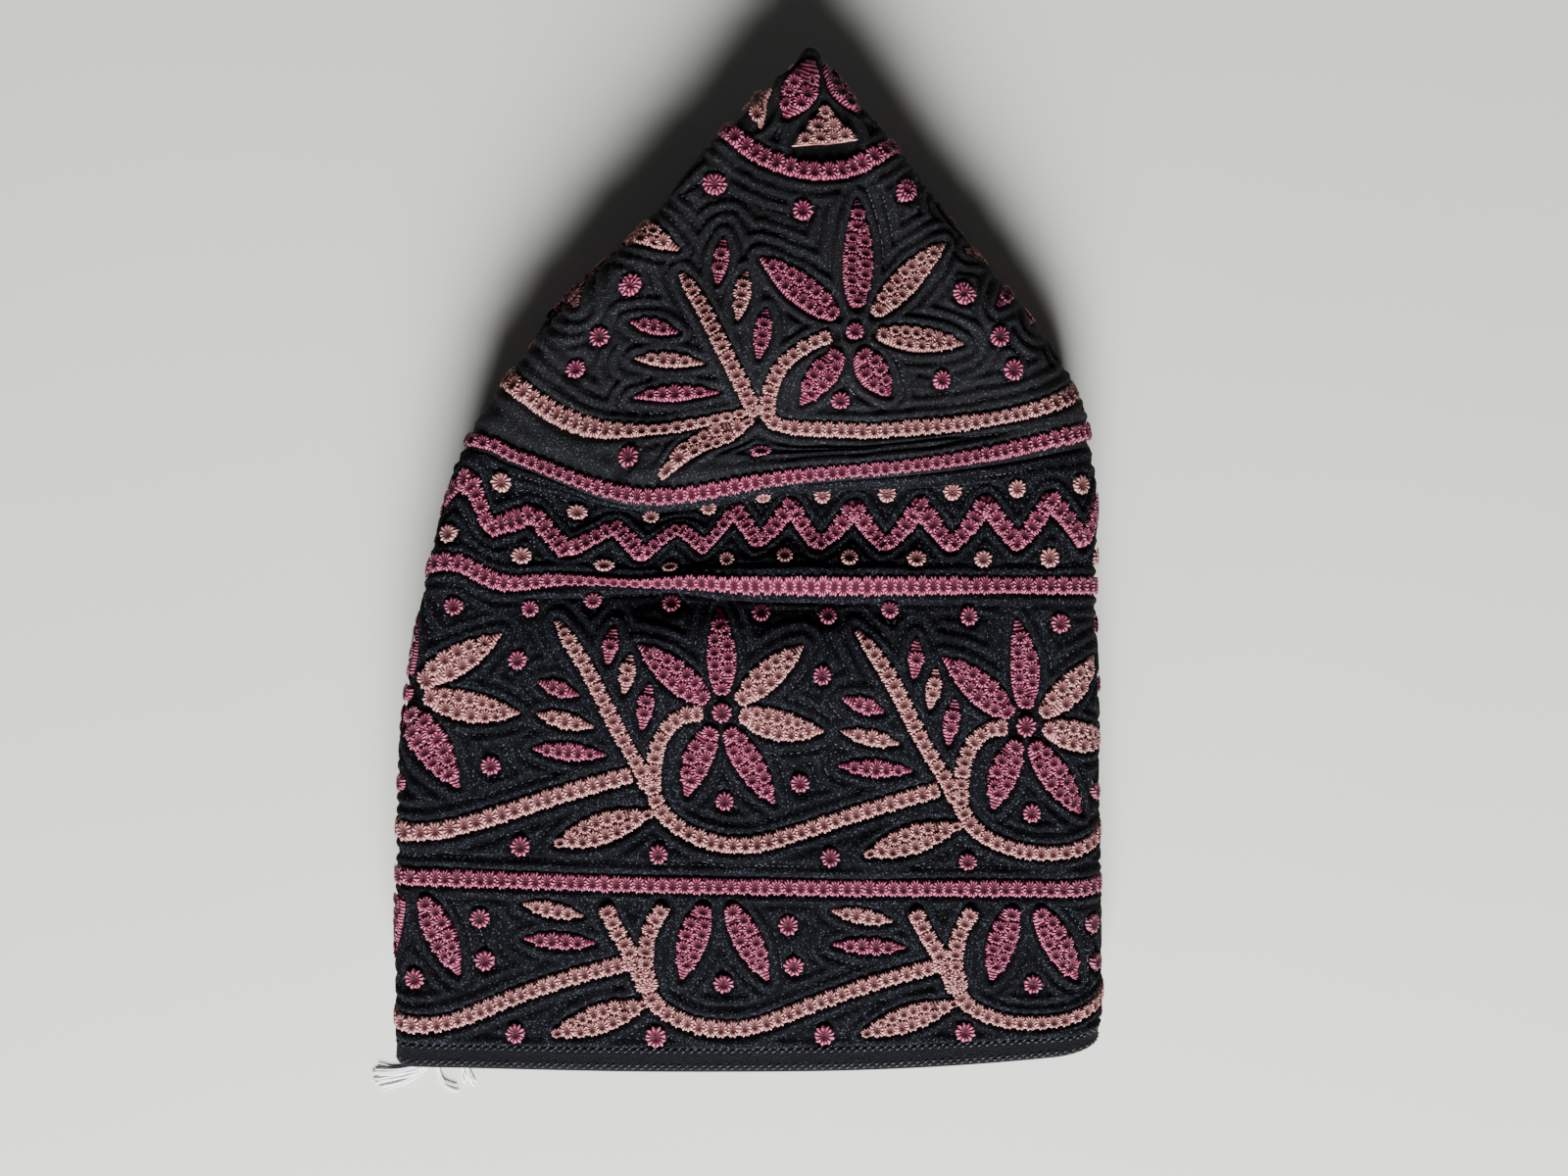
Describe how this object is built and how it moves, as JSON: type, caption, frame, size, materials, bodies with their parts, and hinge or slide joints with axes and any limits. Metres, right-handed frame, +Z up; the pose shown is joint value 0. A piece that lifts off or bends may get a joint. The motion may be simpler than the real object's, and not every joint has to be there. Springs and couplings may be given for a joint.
{
  "type": "embroidered kumma cap, folded flat",
  "caption": "Round-topped brimless cotton cap with floral eyelet embroidery, pressed flat and folded in quarters, resting on a surface.",
  "frame": {"origin": "on the surface that the folded cap lies on, under the middle of its outline", "axes": "+Y from the rim towards the folded crown's point, +X towards the round fold at the right, +Z up through the layers"},
  "size_m": [0.1465, 0.2077, 0.0309],
  "materials": {
    "black_cotton": "matt black cotton, quilted and padded",
    "hem_cotton": "matt black cotton, folded and topstitched",
    "pink_thread": "soft sheen embroidery thread",
    "beige_thread": "soft sheen embroidery thread",
    "white_thread": "matt sewing thread"
  },
  "bodies": {
    "root": {"crown": "black_cotton", "side_band": "black_cotton", "rim_hem": "hem_cotton"}
  },
  "joints": []
}
